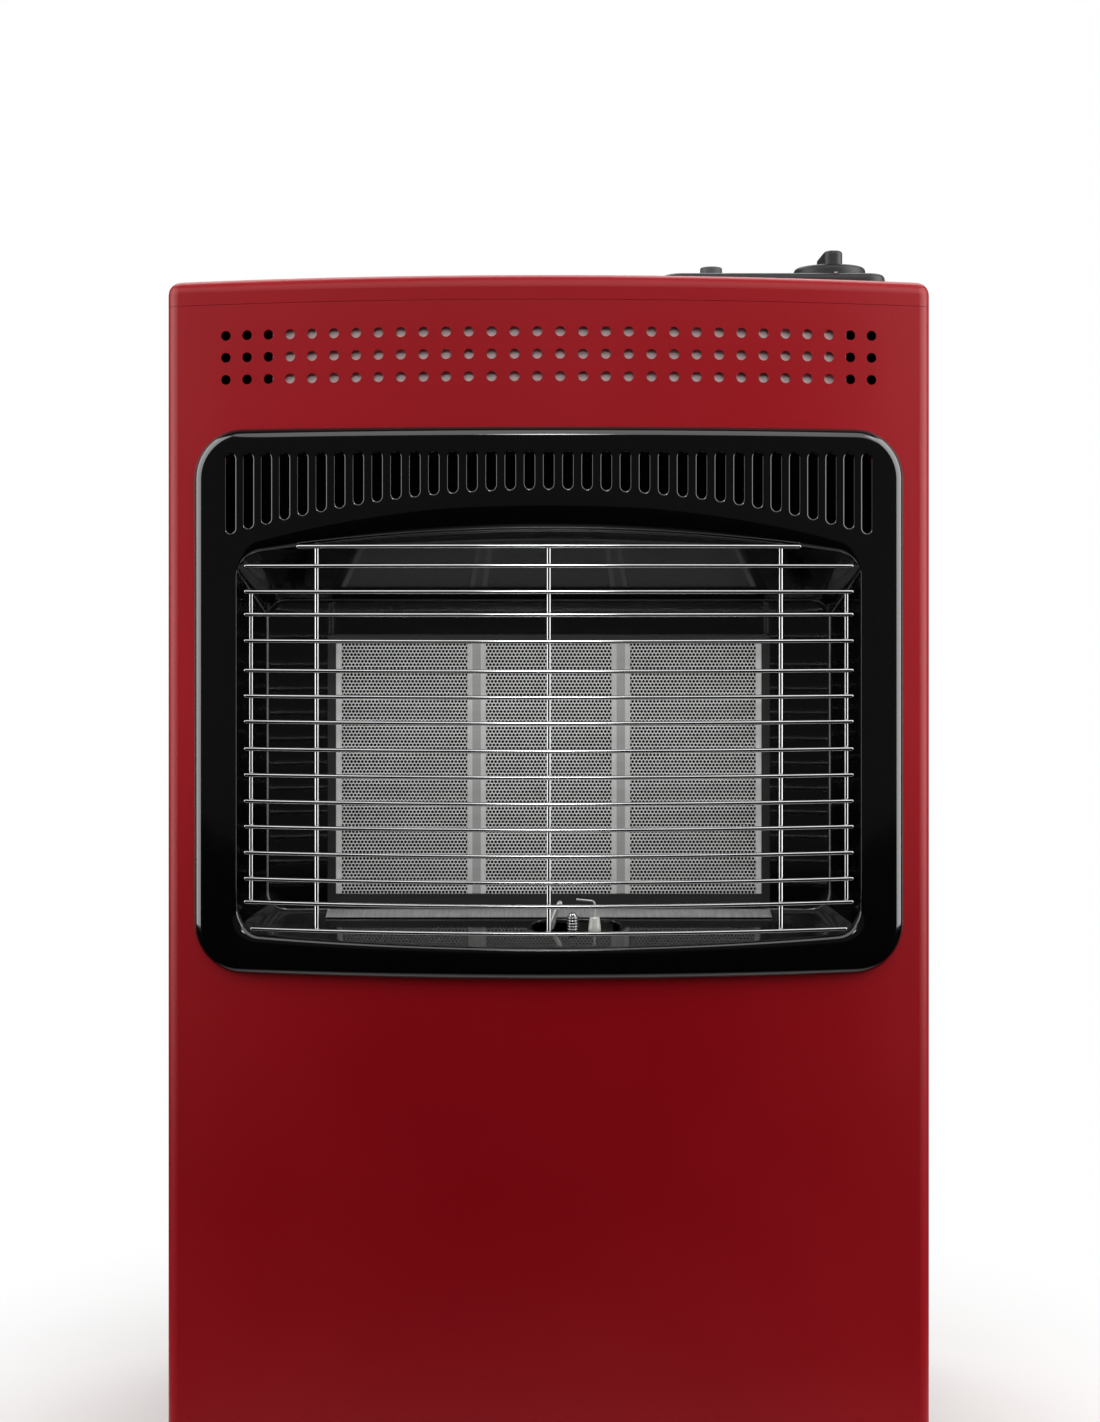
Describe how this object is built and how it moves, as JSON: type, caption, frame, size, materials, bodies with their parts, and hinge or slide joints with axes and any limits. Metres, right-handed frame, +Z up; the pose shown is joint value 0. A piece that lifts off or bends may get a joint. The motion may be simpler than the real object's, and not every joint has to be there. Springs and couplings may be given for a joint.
{
  "type": "butane gas heater",
  "caption": "Portable gas heater: bowed red steel cabinet on swivel castors, ceramic burner behind a wire guard in a black surround, top controls and drop-down rear cover.",
  "frame": {"origin": "on the floor, under the middle of the footprint", "axes": "+Z up, -Y is the front with the burner, +X to the right seen from the front"},
  "size_m": [0.424, 0.42, 0.7444],
  "materials": {
    "red_powder_coat": "satin",
    "black_enamel": "gloss",
    "black_powder_coat": "satin",
    "plated_wire": "polished",
    "galvanised_sheet": "satin",
    "burner_steel": "satin",
    "plaque_ceramic": "matte",
    "fibre_gasket": "matte",
    "brass": "machined",
    "copper": "drawn",
    "aluminium_pipe": "drawn",
    "black_moulding": "fine grain",
    "grey_moulding": "matte",
    "white_glaze": "gloss",
    "lead_rubber": "matte",
    "zinc_plate": "satin"
  },
  "bodies": {
    "cabinet": {"base_tray": "black_powder_coat", "body_screws": "zinc_plate", "burner_box": "burner_steel", "burner_frame": "burner_steel", "burner_screws": "zinc_plate", "burner_surround": "black_enamel", "castor_plates": "zinc_plate", "castor_rivets": "zinc_plate", "control_bezel": "black_moulding", "control_nuts": "zinc_plate", "cover_clips": "zinc_plate", "electrode_insulator": "white_glaze", "electrode_wire": "zinc_plate", "front_panel": "red_powder_coat", "gas_pipe_centre": "aluminium_pipe", "gas_pipe_left": "aluminium_pipe", "gas_pipe_right": "aluminium_pipe", "gas_valve": "brass", "heat_shield": "galvanised_sheet", "hinge_pins": "zinc_plate", "ignition_lead": "lead_rubber", "injector_rail": "burner_steel", "injectors": "brass", "inlet_nozzle": "brass", "mixing_tubes": "burner_steel", "piezo_igniter": "black_moulding", "pilot_bracket": "burner_steel", "pilot_burner": "burner_steel", "pilot_pipe": "aluminium_pipe", "plaque_centre": "plaque_ceramic", "plaque_gaskets": "fibre_gasket", "plaque_left": "plaque_ceramic", "plaque_right": "plaque_ceramic", "side_grip_left": "black_moulding", "side_grip_right": "black_moulding", "side_panel_left": "red_powder_coat", "side_panel_right": "red_powder_coat", "surround_nuts": "zinc_plate", "thermocouple": "zinc_plate", "thermocouple_lead": "copper", "top_panel": "red_powder_coat", "upper_back_panel": "black_powder_coat", "vent_deflector": "galvanised_sheet", "wire_guard": "plated_wire"},
    "rear_cover": {"rear_cover": "black_powder_coat"},
    "spindle": {"valve_spindle": "zinc_plate"},
    "knob": {"control_knob": "black_moulding"},
    "igniter_button": {"piezo_button": "grey_moulding"},
    "castor_front_left": {"castor_fork_front_left": "zinc_plate", "castor_axle_front_left": "zinc_plate"},
    "wheel_front_left": {"castor_wheel_front_left": "grey_moulding"},
    "castor_front_right": {"castor_fork_front_right": "zinc_plate", "castor_axle_front_right": "zinc_plate"},
    "wheel_front_right": {"castor_wheel_front_right": "grey_moulding"},
    "castor_rear_left": {"castor_fork_rear_left": "zinc_plate", "castor_axle_rear_left": "zinc_plate"},
    "wheel_rear_left": {"castor_wheel_rear_left": "grey_moulding"},
    "castor_rear_right": {"castor_fork_rear_right": "zinc_plate", "castor_axle_rear_right": "zinc_plate"},
    "wheel_rear_right": {"castor_wheel_rear_right": "grey_moulding"}
  },
  "joints": [
    {"name": "rear_cover_tilt", "type": "hinge", "parent": "cabinet", "child": "rear_cover", "pos_m": [0, 0.181, 0.076], "axis": [-1, 0, 0], "range_deg": [0, 85]},
    {"name": "knob_turn", "type": "hinge", "parent": "cabinet", "child": "spindle", "pos_m": [0.166, -0.088, 0.716], "axis": [0, 0, 1], "range_deg": [0, 240]},
    {"name": "knob_push", "type": "slide", "parent": "spindle", "child": "knob", "axis": [0, 0, -1], "range_m": [0, 0.004], "stiffness_N_per_m": 800},
    {"name": "igniter_push", "type": "slide", "parent": "cabinet", "child": "igniter_button", "axis": [0, 0, -1], "range_m": [0, 0.006], "stiffness_N_per_m": 1000},
    {"name": "castor_swivel_front_left", "type": "hinge", "parent": "cabinet", "child": "castor_front_left", "pos_m": [-0.165, -0.13, 0.055], "axis": [0, 0, 1], "continuous": true},
    {"name": "castor_roll_front_left", "type": "hinge", "parent": "castor_front_left", "child": "wheel_front_left", "pos_m": [-0.165, -0.108, 0.025], "axis": [1, 0, 0], "continuous": true},
    {"name": "castor_swivel_front_right", "type": "hinge", "parent": "cabinet", "child": "castor_front_right", "pos_m": [0.165, -0.13, 0.055], "axis": [0, 0, 1], "continuous": true},
    {"name": "castor_roll_front_right", "type": "hinge", "parent": "castor_front_right", "child": "wheel_front_right", "pos_m": [0.165, -0.108, 0.025], "axis": [1, 0, 0], "continuous": true},
    {"name": "castor_swivel_rear_left", "type": "hinge", "parent": "cabinet", "child": "castor_rear_left", "pos_m": [-0.165, 0.13, 0.055], "axis": [0, 0, 1], "continuous": true},
    {"name": "castor_roll_rear_left", "type": "hinge", "parent": "castor_rear_left", "child": "wheel_rear_left", "pos_m": [-0.165, 0.152, 0.025], "axis": [1, 0, 0], "continuous": true},
    {"name": "castor_swivel_rear_right", "type": "hinge", "parent": "cabinet", "child": "castor_rear_right", "pos_m": [0.165, 0.13, 0.055], "axis": [0, 0, 1], "continuous": true},
    {"name": "castor_roll_rear_right", "type": "hinge", "parent": "castor_rear_right", "child": "wheel_rear_right", "pos_m": [0.165, 0.152, 0.025], "axis": [1, 0, 0], "continuous": true}
  ]
}
